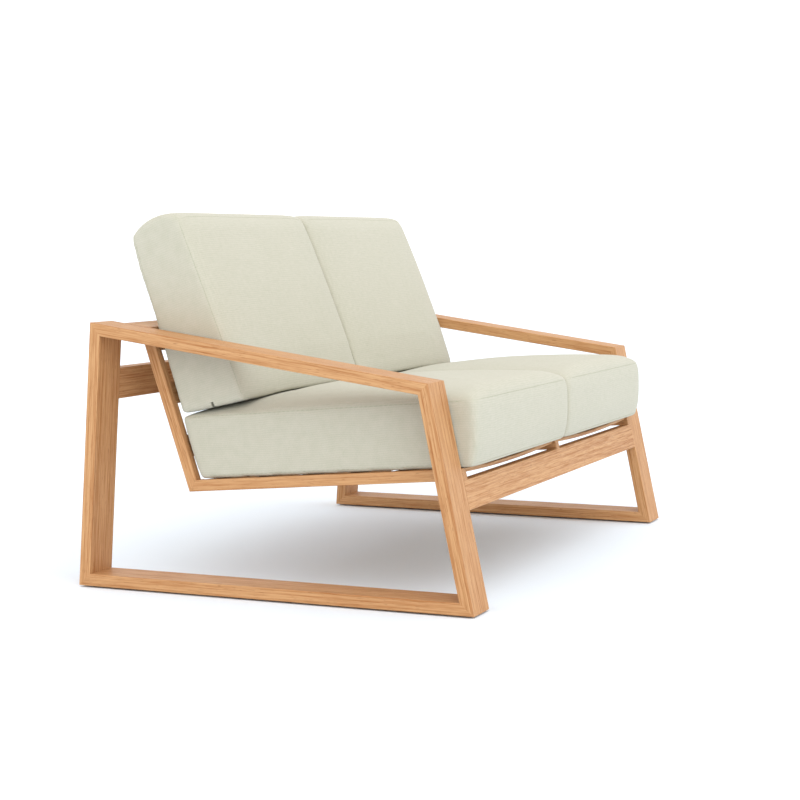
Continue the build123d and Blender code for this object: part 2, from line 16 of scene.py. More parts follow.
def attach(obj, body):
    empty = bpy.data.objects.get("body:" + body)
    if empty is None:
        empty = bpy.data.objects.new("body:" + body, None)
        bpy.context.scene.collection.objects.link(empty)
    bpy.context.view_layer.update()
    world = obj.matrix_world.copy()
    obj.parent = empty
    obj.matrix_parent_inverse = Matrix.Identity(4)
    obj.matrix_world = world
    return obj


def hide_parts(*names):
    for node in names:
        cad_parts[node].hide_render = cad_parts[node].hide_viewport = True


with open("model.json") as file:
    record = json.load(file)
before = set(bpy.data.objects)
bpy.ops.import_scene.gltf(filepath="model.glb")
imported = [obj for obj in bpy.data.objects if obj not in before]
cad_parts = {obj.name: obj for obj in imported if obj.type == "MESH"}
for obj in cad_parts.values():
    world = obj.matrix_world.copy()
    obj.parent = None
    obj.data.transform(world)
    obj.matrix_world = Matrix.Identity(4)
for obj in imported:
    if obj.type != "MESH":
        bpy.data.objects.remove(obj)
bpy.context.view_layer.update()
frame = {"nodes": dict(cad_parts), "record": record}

log = logging.getLogger("loveseat")
MM = 0.001
SIDES = {"left": -1, "right": 1}
# Points of a solid's loose triangles that are nearer than this become one.
WELD = 0.02 * MM
# The numbers of a colour Mix node's sockets, whose names repeat.
SHARE, FIRST, SECOND, MIXED = 0, 6, 7, 2

Piece = bpy.types.Object
Tree = bpy.types.NodeTree
Node = bpy.types.ShaderNode
Socket = bpy.types.NodeSocket


# Small tools


def linear(hex_colour: str) -> tuple[float, float, float, float]:
    """Turns an sRGB colour to linear light.

    Args:
        hex_colour: Six hexadecimal digits.

    Returns:
        Red, green, blue and alpha.
    """
    parts = [int(hex_colour[i : i + 2], 16) / 255 for i in (0, 2, 4)]
    low = [part / 12.92 if part <= 0.04045 else ((part + 0.055) / 1.055) ** 2.4 for part in parts]
    return (*low, 1.0)


def feed(tree: Tree, node: Node, links: dict, values: dict) -> None:
    """Gives a node's inputs what feeds them.

    Args:
        tree: The material's node tree.
        node: The node.
        links: Output sockets by the name or number of the input that they feed.
        values: Constants by the name or number of their input.
    """
    for name, value in values.items():
        node.inputs[name].default_value = value
    for name, socket in links.items():
        tree.links.new(socket, node.inputs[name])


def add_node(
    tree: Tree,
    kind: str,
    links: dict | None = None,
    values: dict | None = None,
    output: int | str = 0,
    **settings: object,
) -> Socket:
    """Adds a shader node with its settings, its constant values and its links.

    Args:
        tree: The material's node tree.
        kind: The node's type, without the ShaderNode that each one starts with.
        links: Output sockets by the name or number of the input that they feed.
        values: Constants by the name or number of their input.
        output: The name or number of the output that is wanted.
        settings: The node's own properties.

    Returns:
        That output of the new node.
    """
    made = tree.nodes.new(f"ShaderNode{kind}")
    for name, value in settings.items():
        setattr(made, name, value)
    feed(tree, made, links or {}, values or {})
    return made.outputs[output]


def between(span: tuple, to: tuple = (0.0, 1.0)) -> dict:
    """Returns the constants that stretch one span of values to another."""
    return {"From Min": span[0], "From Max": span[1], "To Min": to[0], "To Max": to[1]}


def drawn_noise(tree: Tree, place: Socket, sizes: tuple, detail: float, output: str = "Fac") -> Socket:
    """Lays noise that is drawn out along some axes.

    Args:
        tree: The material's node tree.
        place: Places in the pattern's own axes.
        sizes: How large its spots are along each axis.
        detail: How many finer layers it has.
        output: The noise's output that is wanted.

    Returns:
        That output.
    """
    scale = tuple(1 / size for size in sizes)
    scaled = add_node(tree, "Mapping", {"Vector": place}, {"Scale": scale})
    return add_node(tree, "TexNoise", {"Vector": scaled}, {"Scale": 1.0, "Detail": detail}, output)


def squareness(tree: Tree, way: tuple) -> Socket:
    """Lays nodes for how squarely a face points along a direction or against it."""
    facing = add_node(tree, "NewGeometry", output="Normal")
    square = add_node(tree, "VectorMath", {0: facing}, {1: way}, "Value", operation="DOT_PRODUCT")
    return add_node(tree, "Math", {0: square}, operation="ABSOLUTE")


def put_in_scene(name: str, data: bpy.types.ID) -> Piece:
    """Makes an object of a mesh, curve, light or camera, and puts it in the scene."""
    made = bpy.data.objects.new(name, data)
    bpy.context.scene.collection.objects.link(made)
    return made


def select_only(piece: Piece) -> None:
    """Deselects everything but one piece, which becomes the active one."""
    bpy.ops.object.select_all(action="DESELECT")
    piece.select_set(True)
    bpy.context.view_layer.objects.active = piece


def finish_with(piece: Piece, kind: str, **settings: object) -> None:
    """Puts a modifier on a piece and applies it.

    Args:
        piece: The piece.
        kind: The modifier's type.
        settings: The modifier's properties.
    """
    select_only(piece)
    modifier = piece.modifiers.new(kind.title(), kind)
    for name, value in settings.items():
        setattr(modifier, name, value)
    bpy.ops.object.modifier_apply(modifier=modifier.name)


def read_points(piece: Piece, what: str) -> np.ndarray:
    """Returns what a mesh's points hold under a name, one row each."""
    flat = np.zeros(len(piece.data.vertices) * 3)
    piece.data.vertices.foreach_get(what, flat)
    return flat.reshape(-1, 3)


def points_of(piece: Piece) -> np.ndarray:
    """Returns the places of a mesh's points, one row each."""
    return read_points(piece, "co")


def normals_of(piece: Piece) -> np.ndarray:
    """Returns the outward directions at a mesh's points, one row each."""
    return read_points(piece, "normal")


def move_points(piece: Piece, places: np.ndarray) -> None:
    """Gives a mesh's points new places."""
    piece.data.vertices.foreach_set("co", np.ascontiguousarray(places).ravel())
    piece.data.update()


def surface_of(piece: Piece) -> BVHTree:
    """Returns a piece's surface, to find places on."""
    places = [tuple(place) for place in points_of(piece)]
    return BVHTree.FromPolygons(places, [tuple(face.vertices) for face in piece.data.polygons])


def copy_of(source: Piece, name: str) -> Piece:
    """Copies an object with a mesh of its own, which rides on nothing yet."""
    mesh = source.data.copy()
    mesh.name = name
    return put_in_scene(name, mesh)


def welded_copy(node: str, name: str) -> Piece:
    """Copies a CAD node as a mesh whose triangles hold together.

    Args:
        node: The CAD node.
        name: The copy's name.

    Returns:
        The copy, which rides on nothing yet.
    """
    made = copy_of(frame["nodes"][node], name)
    select_only(made)
    bpy.ops.object.mode_set(mode="EDIT")
    bpy.ops.mesh.select_all(action="SELECT")
    bpy.ops.mesh.remove_doubles(threshold=WELD)
    bpy.ops.object.mode_set(mode="OBJECT")
    return made


def mirrored(source: Piece, name: str) -> Piece:
    """Copies a piece to the other side of the middle plane, with its faces outwards again.

    Args:
        source: The piece on the left.
        name: The copy's name.

    Returns:
        The piece on the right.
    """
    made = copy_of(source, name)
    made.data.transform(Matrix.Scale(-1, 4, (1, 0, 0)))
    made.data.flip_normals()
    return made


def joined(pieces: list[Piece], name: str) -> Piece:
    """Joins pieces into the first one and names it."""
    select_only(pieces[0])
    for piece in pieces[1:]:
        piece.select_set(True)
    bpy.ops.object.join()
    pieces[0].name = pieces[0].data.name = name
    return pieces[0]


def block(name: str, size: tuple, place: tuple, rounding: float, segments: int = 3) -> Piece:
    """Models a small block whose arrises are rounded in edit mode.

    Args:
        name: The block's name.
        size: Its three lengths.
        place: Its middle.
        rounding: The width of its rounded arrises.
        segments: How many faces each arris gets.

    Returns:
        The block.
    """
    bpy.ops.object.select_all(action="DESELECT")
    bpy.ops.mesh.primitive_cube_add(size=1, location=place)
    made = bpy.context.object
    made.name = made.data.name = name
    made.scale = size
    bpy.ops.object.transform_apply(location=True, rotation=True, scale=True)
    bpy.ops.object.mode_set(mode="EDIT")
    bpy.ops.mesh.select_all(action="SELECT")
    bpy.ops.mesh.bevel(offset=rounding, segments=segments, affect="EDGES")
    bpy.ops.object.mode_set(mode="OBJECT")
    return made


# Finishes


@dataclass(frozen=True)
class Finish:
    """A surface by what it is made of and how it was made."""

    name: str

    def lay(self, tree: Tree, shader: Node) -> None:
        """Sets the shader and lays the nodes that feed it."""
        raise NotImplementedError

    def material(self) -> bpy.types.Material:
        """Returns the material, which is made the first time."""
        made = bpy.data.materials.get(self.name)
        if made is None:
            made = bpy.data.materials.new(self.name)
            made.use_nodes = True
            self.lay(made.node_tree, made.node_tree.nodes["Principled BSDF"])
        return made

    def dress_node(self, name: str) -> None:
        """Gives a CAD node this material."""
        for slot in frame["nodes"][name].material_slots:
            slot.material = self.material()

    def dress_piece(self, piece: Piece, slot: str) -> None:
        """Gives a new piece this material."""
        piece.data.materials.clear()
        piece.data.materials.append(self.material())


@dataclass(frozen=True)
class OiledTeak(Finish):
    """Teak boards, planed, sanded and oiled.

    Straight growth lines a few millimetres apart run along the board, over fine fibres and short
    dark pores, which are drawn coarser than the real ones so that they show. The oil leaves a low,
    uneven sheen, and cut ends drink more of it and are darker.

    The slope is the grain's in the side view, in degrees, or None for boards that run across. A
    pattern is its spacing across the board, its length along it and its finer layers. A span is
    the part of a pattern's range that shows, and a weight is how much that darkens the wood.
    """

    slope: float | None = None
    light: str = "C89A6C"
    dark: str = "A26B3E"
    pore: str = "804F29"
    growth: tuple = (3.6 * MM, 420 * MM, 1.0)
    growth_span: tuple = (0.4, 0.68)
    growth_weight: float = 0.54
    fibre: tuple = (2.0 * MM, 60 * MM, 2.0)
    fibre_span: tuple = (0.38, 0.66)
    fibre_weight: float = 0.5
    pores: tuple = (1.6 * MM, 18 * MM, 1.0)
    pore_span: tuple = (0.64, 0.74)
    pore_weight: float = 0.5
    board: tuple = (60 * MM, 1500 * MM, 0.0)
    board_weight: float = 0.15
    tone_span: tuple = (0.12, 1.1)
    end_span: tuple = (0.85, 0.97)
    end_weight: float = 0.16
    drift: tuple = (70 * MM, 900 * MM, 1.0)
    waver: float = 10 * MM
    relief: float = 0.35
    relief_depth: float = 0.25 * MM
    sheen_span: tuple = (0.3, 0.7)
    roughness: tuple = (0.42, 0.62)
    ior: float = 1.5
    specular: float = 0.2

    def lay(self, tree: Tree, shader: Node) -> None:
        """Sets the shader and lays the nodes that feed it."""
        place = add_node(tree, "TexCoord", output="Object")
        turn = (0, 0, -math.pi / 2) if self.slope is None else (-math.radians(self.slope), 0, 0)
        along = add_node(tree, "Mapping", {"Vector": place}, {"Rotation": turn})
        drift = self.streaks(tree, along, self.drift, "Color")
        push = add_node(tree, "VectorMath", {0: drift}, {1: (0.5, 0.5, 0.5)}, operation="SUBTRACT")
        waver = {1: (self.waver, 0, self.waver)}
        lined = add_node(tree, "VectorMath", {0: push, 2: along}, waver, operation="MULTIPLY_ADD")
        growth = self.streaks(tree, lined, self.growth)
        fibre = self.streaks(tree, lined, self.fibre)
        pores = self.streaks(tree, lined, self.pores)
        board = self.streaks(tree, along, self.board)

        lines = add_node(tree, "MapRange", {0: growth}, between(self.growth_span, (0, self.growth_weight)))
        fine = add_node(tree, "MapRange", {0: fibre}, between(self.fibre_span, (0, self.fibre_weight)))
        drawn = add_node(tree, "Math", {0: lines, 1: fine}, operation="ADD")
        tone = add_node(tree, "Math", {0: board, 2: drawn}, {1: self.board_weight}, operation="MULTIPLY_ADD")
        share = add_node(tree, "MapRange", {0: tone}, between(self.tone_span))
        colours = {FIRST: linear(self.light), SECOND: linear(self.dark)}
        wood = add_node(tree, "Mix", {SHARE: share}, colours, MIXED, data_type="RGBA")
        pit = add_node(tree, "MapRange", {0: pores}, between(self.pore_span, (0, self.pore_weight)))
        darker = {SECOND: linear(self.pore)}
        for dark in (pit, self.cut_end(tree)):
            wood = add_node(tree, "Mix", {SHARE: dark, FIRST: wood}, darker, MIXED, data_type="RGBA")

        height = add_node(tree, "Math", {0: fibre, 1: pit}, operation="SUBTRACT")
        depth = {"Strength": self.relief, "Distance": self.relief_depth}
        bump = add_node(tree, "Bump", {"Height": height}, depth)
        gloss = add_node(tree, "MapRange", {0: fibre}, between(self.sheen_span, self.roughness))
        links = {"Base Color": wood, "Roughness": gloss, "Normal": bump}
        feed(tree, shader, links, {"IOR": self.ior, "Specular IOR Level": self.specular})

    @staticmethod
    def streaks(tree: Tree, along: Socket, pattern: tuple, output: str = "Fac") -> Socket:
        """Lays noise that is drawn out along the board."""
        spacing, length, detail = pattern
        return drawn_noise(tree, along, (spacing, length, spacing), detail, output)

    def cut_end(self, tree: Tree) -> Socket:
        """Returns how much a face is a cut end, by how squarely it faces along the grain."""
        slope = math.radians(self.slope or 0)
        grain = (1, 0, 0) if self.slope is None else (0, math.cos(slope), math.sin(slope))
        ends = between(self.end_span, (0, self.end_weight))
        return add_node(tree, "MapRange", {0: squareness(tree, grain)}, ends)


@dataclass(frozen=True)
class WovenCover(Finish):
    """Spun acrylic canvas, woven with a rib, in a pale sage cream.

    Plump weft yarns lie in rows with fine warp threads over them. The yarns are drawn a little
    coarser than the real ones so that they show. Their low places take a darker colour, which is
    painted shade, and a slow cloud adds random tone. The cloth is matt with a faint nap. The lean
    is the cushion's in the side view, in degrees, and the rows wander by a few ribs.
    """

    lean: float = 0.0
    # The valley colour, in the low places between yarns and rows, is painted shade.
    crest: str = "BFBBAC"
    valley: str = "AFAE9B"
    rib: float = 4.6 * MM
    rib_weight: float = 0.3
    yarn: float = 2.4 * MM
    yarn_run: float = 20 * MM
    detail: float = 2.0
    warp_weight: float = 0.7
    cloud: float = 120 * MM
    cloud_weight: float = 0.2
    wander: float = 3.0
    flat_from: float = 0.72
    tone_span: tuple = (0.6, 1.5)
    relief: float = 0.3
    relief_depth: float = 0.4 * MM
    roughness: float = 0.9
    specular: float = 0.2
    nap: float = 0.15
    nap_roughness: float = 0.6

    def lay(self, tree: Tree, shader: Node) -> None:
        """Sets the shader and lays the nodes that feed it."""
        place = add_node(tree, "TexCoord", output="Object")
        turn = {"Rotation": (math.radians(self.lean), 0, 0)}
        turned = add_node(tree, "Mapping", {"Vector": place}, turn)
        slow = {"Scale": 1 / self.cloud, "Detail": self.detail}
        cloud = add_node(tree, "TexNoise", {"Vector": turned}, slow, "Fac")
        rows = self.ribs(tree, turned, cloud)
        weft = drawn_noise(tree, turned, (self.yarn_run, self.yarn, self.yarn), self.detail)
        warp = drawn_noise(tree, turned, (self.yarn, self.yarn_run, self.yarn_run), self.detail)

        ribbed = add_node(tree, "Math", {0: rows, 2: weft}, {1: self.rib_weight}, operation="MULTIPLY_ADD")
        height = add_node(tree, "Math", {0: warp, 2: ribbed}, {1: self.warp_weight}, operation="MULTIPLY_ADD")
        tone = add_node(tree, "Math", {0: cloud, 2: height}, {1: self.cloud_weight}, operation="MULTIPLY_ADD")
        share = add_node(tree, "MapRange", {0: tone}, between(self.tone_span))
        # The height picks the colour: the darker valley colour in its low places is painted shade, and the
        # cloud's share is random tone.
        colours = {FIRST: linear(self.valley), SECOND: linear(self.crest)}
        colour = add_node(tree, "Mix", {SHARE: share}, colours, MIXED, data_type="RGBA")
        depth = {"Strength": self.relief, "Distance": self.relief_depth}
        bump = add_node(tree, "Bump", {"Height": height}, depth)
        values = {
            "Roughness": self.roughness,
            "Specular IOR Level": self.specular,
            "Sheen Weight": self.nap,
            "Sheen Roughness": self.nap_roughness,
        }
        feed(tree, shader, {"Base Color": colour, "Normal": bump}, values)

    def ribs(self, tree: Tree, turned: Socket, cloud: Socket) -> Socket:
        """Lays the rows of the rib, which run across the cushion on every face.

        Args:
            tree: The material's node tree.
            turned: Places in the cloth's own axes.
            cloud: The slow unevenness that makes the rows wander.

        Returns:
            How high the rows stand, from nought to one.
        """
        lean = math.radians(self.lean)
        square = squareness(tree, (0, math.sin(lean), math.cos(lean)))
        flat = add_node(tree, "Math", {0: square}, {1: self.flat_from}, operation="GREATER_THAN")
        # The rows follow each other in depth on faces that lie flat, and in height on the others.
        axes = add_node(tree, "SeparateXYZ", {0: turned}).node.outputs
        way = add_node(tree, "Mix", {0: flat, 2: axes["Z"], 3: axes["Y"]}, data_type="FLOAT")
        wander = {1: self.wander * self.rib}
        row = add_node(tree, "Math", {0: cloud, 2: way}, wander, operation="MULTIPLY_ADD")
        angle = add_node(tree, "Math", {0: row}, {1: math.tau / self.rib}, operation="MULTIPLY")
        wave = add_node(tree, "Math", {0: angle}, operation="SINE")
        return add_node(tree, "Math", {0: wave}, {1: 0.5, 2: 0.5}, operation="MULTIPLY_ADD")


@dataclass(frozen=True)
class TwoTone(Finish):
    """A surface whose two colours follow one pattern, which may also raise it.

    The pattern is an even grain, unless the finish has one of its own.
    """

    crest: str = "FFFFFF"
    valley: str = "000000"
    grain: float = 4 * MM
    detail: float = 2.0
    relief: float = 0.0
    relief_depth: float = 0.2 * MM
    roughness: float = 0.9
    ior: float = 1.5
    specular: float = 0.5

    def pattern(self, tree: Tree, place: Socket) -> Socket:
        """Lays the pattern, from nought in its valleys to one on its crests."""
        grain = {"Scale": 1 / self.grain, "Detail": self.detail}
        return add_node(tree, "TexNoise", {"Vector": place}, grain, "Fac")

    def lay(self, tree: Tree, shader: Node) -> None:
        """Sets the shader and lays the nodes that feed it."""
        share = self.pattern(tree, add_node(tree, "TexCoord", output="Object"))
        colours = {FIRST: linear(self.valley), SECOND: linear(self.crest)}
        links = {"Base Color": add_node(tree, "Mix", {SHARE: share}, colours, MIXED, data_type="RGBA")}
        if self.relief:
            depth = {"Strength": self.relief, "Distance": self.relief_depth}
            links["Normal"] = add_node(tree, "Bump", {"Height": share}, depth)
        values = {"Roughness": self.roughness, "IOR": self.ior, "Specular IOR Level": self.specular}
        feed(tree, shader, links, values)


@dataclass(frozen=True)
class SpunThread(TwoTone):
    """Polyester seam thread with the folded edge of the cloth, twisted, matt, darkened as painted shade.

    A wave texture's slanted bands lie 0.628 times the twist apart, which is 10 mm: coarser than
    the real twist, so that it shows. Both colours are darker than the cloth's as painted shade of the
    seam's dip, and the darker one lies in the twist's grooves as painted shade too.
    """

    # Painted shade: both colours are darker than the cloth's for the seam's dip, and the valley colour marks
    # the twist's grooves.
    crest: str = "B0B09B"
    valley: str = "A0A18B"
    twist: float = 16 * MM
    unevenness: float = 0.6
    relief: float = 0.5
    roughness: float = 0.85

    def pattern(self, tree: Tree, place: Socket) -> Socket:
        """Lays the thread's twist."""
        twist = {"Scale": 1 / self.twist, "Distortion": self.unevenness}
        return add_node(tree, "TexWave", {"Vector": place}, twist, "Fac", bands_direction="DIAGONAL")


@dataclass(frozen=True)
class CellFoam(TwoTone):
    """Open-cell polyurethane foam, cut by wire, with fine pits all over and no shine."""

    # The valley colour darkens the cells' pits, where the pattern also sinks the surface: painted shade.
    crest: str = "E6DFC4"
    valley: str = "B9AE8C"
    cell: float = 2.0 * MM
    relief: float = 0.6
    relief_depth: float = 0.5 * MM
    roughness: float = 0.95

    def pattern(self, tree: Tree, place: Socket) -> Socket:
        """Lays the foam's cells."""
        return add_node(tree, "TexVoronoi", {"Vector": place}, {"Scale": 1 / self.cell}, "Distance")


@dataclass(frozen=True)
class WovenTape(TwoTone):
    """Polyester zip tape, woven in a fine twill of the cover's colour, matt.

    A wave texture's bands lie 0.314 times the weave apart, which is two threads of 1 mm.
    """

    # The valley colour in the twill's grooves, which the pattern also sinks, is painted shade.
    crest: str = "A9AA8F"
    valley: str = "85866E"
    weave: float = 6.28 * MM
    unevenness: float = 1.0
    relief: float = 0.5
    roughness: float = 0.8

    def pattern(self, tree: Tree, place: Socket) -> Socket:
        """Lays the tape's slanted threads."""
        turned = add_node(tree, "Mapping", {"Vector": place}, {"Rotation": (0, 0, math.pi / 4)})
        weave = {"Scale": 1 / self.weave, "Distortion": self.unevenness}
        return add_node(tree, "TexWave", {"Vector": turned}, weave, "Fac")


@dataclass(frozen=True)
class MouldedCoil(TwoTone):
    """Nylon zip teeth, moulded from one filament, smooth and slightly glossy."""

    crest: str = "8F907A"
    valley: str = "77785F"
    roughness: float = 0.35
    ior: float = 1.53


@dataclass(frozen=True)
class BlackenedBrass(Finish):
    """Die-cast brass, blackened in a bath, with brighter metal where fingers have rubbed it."""

    colour: str = "2A2723"
    rubbed: str = "5A4F3E"
    patch: float = 3 * MM
    patch_detail: float = 4.0
    rubbed_span: tuple = (0.5, 0.75)
    roughness: tuple = (0.3, 0.5)
    metallic: float = 0.9

    def lay(self, tree: Tree, shader: Node) -> None:
        """Sets the shader and lays the nodes that feed it."""
        place = add_node(tree, "TexCoord", output="Object")
        patches = {"Scale": 1 / self.patch, "Detail": self.patch_detail}
        rub = add_node(tree, "TexNoise", {"Vector": place}, patches, "Fac")
        share = add_node(tree, "MapRange", {0: rub}, between(self.rubbed_span))
        colours = {FIRST: linear(self.colour), SECOND: linear(self.rubbed)}
        colour = add_node(tree, "Mix", {SHARE: share}, colours, MIXED, data_type="RGBA")
        gloss = add_node(tree, "MapRange", {0: rub}, between((0, 1), self.roughness))
        feed(tree, shader, {"Base Color": colour, "Roughness": gloss}, {"Metallic": self.metallic})


@dataclass(frozen=True)
class MouldedRubber(TwoTone):
    """Black rubber, moulded, with a fine eggshell grain and grey floor dust on its crests."""

    crest: str = "3B3936"
    valley: str = "1B1B1A"
    grain: float = 1.2 * MM
    detail: float = 3.0
    relief: float = 0.4
    relief_depth: float = 0.1 * MM
    roughness: float = 0.75


@dataclass(frozen=True)
class PaintedFloor(TwoTone):
    """A studio floor, rolled with matt white paint, even, with the faintest mottle.

    The paint is a little blue, against the brown light that the wood throws on it.
    """

    crest: str = "EEF6FE"
    valley: str = "EBF3FB"
    grain: float = 500 * MM
    specular: float = 0.1


# Timber


@dataclass
class TimberFrame:
    """The mitred side frames, the cross rails, the seat frames and their slats.

    The solids have their shapes already, so each board only gets teak whose grain runs along it.
    The slopes are degrees in the side view, from the back of the seat towards the top.
    """

    leg_slope: float = 77.81
    arm_slope: float = 7.95
    rear_leg_slope: float = 93.63
    seat_rail_slope: float = -5.0
    back_rail_slope: float = 71.3

    def slopes(self) -> dict[str, float]:
        """Returns the slope of the grain by the end of a node's name, for boards in the side view."""
        return {
            "front_leg": self.leg_slope,
            "arm": self.arm_slope,
            "rear_leg": self.rear_leg_slope,
            "runner": 0.0,
            "seat_rail": self.seat_rail_slope,
            "back_rail": self.back_rail_slope,
        }

    def dress(self) -> None:
        """Gives every timber node its teak."""
        slopes = self.slopes()
        for part in frame["record"]["subparts"]:
            name = part["node"]
            if part["material_slot"] != "timber":
                continue
            board = next((end for end in slopes if name.endswith(end)), "across")
            OiledTeak(f"oiled_teak_{board}", slope=slopes.get(board)).dress_node(name)
            log.info("dressed %s", name)


@dataclass
class FloorGlides:
    """The four round glides under the runners."""

    node: str = "glides"

    def dress(self) -> None:
        """Gives the glides their rubber."""
        MouldedRubber("moulded_rubber").dress_node(self.node)
        log.info("dressed %s", self.node)


# Cushions


class Kind(Enum):
    """The two kinds of box cushion."""

    SEAT = "seat"
    BACK = "back"


@dataclass(frozen=True)
class FreeSide:
    """A side with nothing near it, where the cloth may stand a little proud of its solid.

    The room grows from nought at the start to its whole at the end, along a direction. This and
    the direction that the side faces are in the side view, to the rear and up.
    """

    facing: tuple
    proud: float
    along: tuple
    start: float
    end: float

    def room(self, places: np.ndarray, outwards: np.ndarray) -> np.ndarray:
        """Returns how far each point may stand proud.

        Args:
            places: The points.
            outwards: The directions that they face.

        Returns:
            A length for each point.
        """
        square = np.clip(outwards @ np.array([0.0, *self.facing]), 0, 1) ** 2
        way = places @ np.array([0.0, *self.along])
        return self.proud * square * np.clip((way - self.start) / (self.end - self.start), 0, 1)


@dataclass(frozen=True)
class SoftCorner:
    """The two end arrises between a pair of corners, which the foam's give makes rounder."""

    first: int
    second: int
    reach: float
    rounds: int


@dataclass
class BoxCushion:
    """A box cushion on the left, and its mirror image on the right.

    Its cover is blown up from its solid, shrunk a little first. The two seams round its panels are
    held back, and the cloth swells between them to the space that the solid leaves it.

    The corners are in the side view, to the rear and up: the underside's rear and front, then the
    top's front and rear. A seam is two corners' numbers and how high over them it runs. The rest
    direction is the one into the cushion from what it rests on.
    """

    kind: Kind
    lean: float
    corners: tuple
    seams: tuple
    zip_at: tuple
    zip_lean: float
    rest_up: tuple
    free_sides: tuple
    full_sides: tuple
    soft_corners: tuple
    half: float = 308.25 * MM
    middle: float = 308.75 * MM
    side_margin: float = 0.15 * MM
    rest_margin: float = 0.15 * MM
    voxel: float = 6.5 * MM
    shrink: float = 1.6 * MM
    smoothing: float = 0.5
    rounding_rounds: int = 3
    cloth_frames: int = 20
    # Slow waves of 200 to 330 mm, in radians a metre along X, Y and Z, with their starts.
    unevenness: float = 0.9 * MM
    ripple: tuple = (31, 23, 19)
    ripple_start: tuple = (0.7, 0.3)
    fullness: float = 0.85
    # How far the underside sags at its front and rear, and where that has faded out.
    sag: tuple = (0.0, 0.0)
    sag_height: float = 70 * MM
    sag_search: float = 40 * MM
    rest_gap: float = 1.2 * MM
    # The seams' places stand out between the corners, which the cloth draws back.
    stand_out: float = 4.0 * MM
    draw_power: int = 14
    width_points: int = 100
    end_points: int = 70
    seam_hold: float = 7.0 * MM
    seam_draw: float = 32 * MM
    seam_radius: float = 0.75 * MM
    seam_sunk: float = 0.5
    seam_rounds: int = 3
    groove_width: float = 12 * MM
    groove_depth: float = 7 * MM
    groove_over: float = 1 * MM
    groove_beside: float = 0.5 * MM
    slot_width: float = 6 * MM
    slot_run: float = 7 * MM
    slot_drop: float = 3.2 * MM
    cutter_below: float = 18 * MM
    cutter_beyond: float = 20 * MM
    cutter_rounding: float = 0.7 * MM
    core_rounding: float = 8 * MM

    @property
    def left(self) -> str:
        """Returns the name of the cushion on the left."""
        return f"left_{self.kind.value}_cushion"

    @property
    def right(self) -> str:
        """Returns the name of the cushion on the right."""
        return f"right_{self.kind.value}_cushion"

    def up(self) -> np.ndarray:
        """Returns the direction into the cushion from what it rests on."""
        return np.array([0.0, *self.rest_up])

    def height_over_rest(self, places: np.ndarray) -> np.ndarray:
        """Returns how high points lie over the underside."""
        return (places - np.array([0.0, *self.corners[0]])) @ self.up()

    def seam_paths(self) -> list[np.ndarray]:
        """Returns the closed routes of the two seams, on the solid's arrises."""
        routes = []
        for first, second, lift in self.seams:
            ends = [np.array(self.corners[i]) + np.array(self.rest_up) * lift for i in (first, second)]
            out = (ends[0] - ends[1]) / np.linalg.norm(ends[0] - ends[1]) * self.stand_out
            across = np.linspace(-1, 1, self.width_points)
            full = 1 - np.abs(across) ** self.draw_power
            xs = -self.middle + across * self.half
            near = [(x, *(ends[0] + out * share)) for x, share in zip(xs, full)]
            far = [(x, *(ends[1] - out * share)) for x, share in zip(xs[::-1], full)]
            steps = np.linspace(0, 1, self.end_points)[1:-1]
            right = [(xs[-1], *(ends[0] + (ends[1] - ends[0]) * step)) for step in steps]
            left = [(xs[0], *(ends[1] + (ends[0] - ends[1]) * step)) for step in steps]
            routes.append(np.array([*near, *right, *far, *left]))
        return routes

    def blank(self) -> Piece:
        """Makes a closed, even mesh of the solid, with its zip's groove filled and arrises softened."""
        piece = welded_copy(f"{self.left}_cover", f"{self.left}_cover_cloth")
        places = points_of(piece)
        height = self.height_over_rest(places)
        forwards = np.array([0.0, -self.rest_up[1], self.rest_up[0]])
        along = np.abs((places - np.array([0.0, *self.zip_at])) @ forwards)
        in_groove = height < self.groove_depth + self.groove_over
        in_groove &= along < self.groove_width / 2 + self.groove_beside
        places[in_groove] -= np.outer(height[in_groove], self.up())
        move_points(piece, places)
        finish_with(piece, "REMESH", mode="VOXEL", voxel_size=self.voxel, use_smooth_shade=True)
        finish_with(piece, "SMOOTH", factor=self.smoothing, iterations=self.rounding_rounds)
        for corner in self.soft_corners:
            self.soften(piece, corner)
        move_points(piece, points_of(piece) - normals_of(piece) * self.shrink)
        return piece

    def soften(self, piece: Piece, corner: SoftCorner) -> None:
        """Rounds two end arrises of a blank, less and less away from them.

        Args:
            piece: The cover's blank.
            corner: The arrises.
        """
        places = points_of(piece)
        first, second = (np.array(self.corners[i]) for i in (corner.first, corner.second))
        length = np.linalg.norm(second - first)
        way = (second - first) / length
        from_first = places[:, 1:] - first
        beside = from_first - np.outer(np.clip(from_first @ way, 0, length), way)
        inwards = self.half - np.abs(places[:, 0] + self.middle)
        near = np.clip(1 - np.sqrt((beside**2).sum(1) + inwards**2) / corner.reach, 0, 1)
        group = piece.vertex_groups.new(name="corner")
        grades = 10
        for grade in range(1, grades + 1):
            chosen = np.flatnonzero((near > (grade - 1) / grades) & (near <= grade / grades))
            group.add([int(i) for i in chosen], grade / grades, "REPLACE")
        finish_with(
            piece, "SMOOTH", factor=self.smoothing, iterations=corner.rounds, vertex_group="corner"
        )
        piece.vertex_groups.clear()

    def fill_out(self, piece: Piece) -> None:
        """Lets the sides that are full right up to their seams stand proud of the solid."""
        places, outwards = points_of(piece), normals_of(piece)
        for side in self.full_sides:
            places += outwards * side.room(places, outwards)[:, None]
        move_points(piece, places)

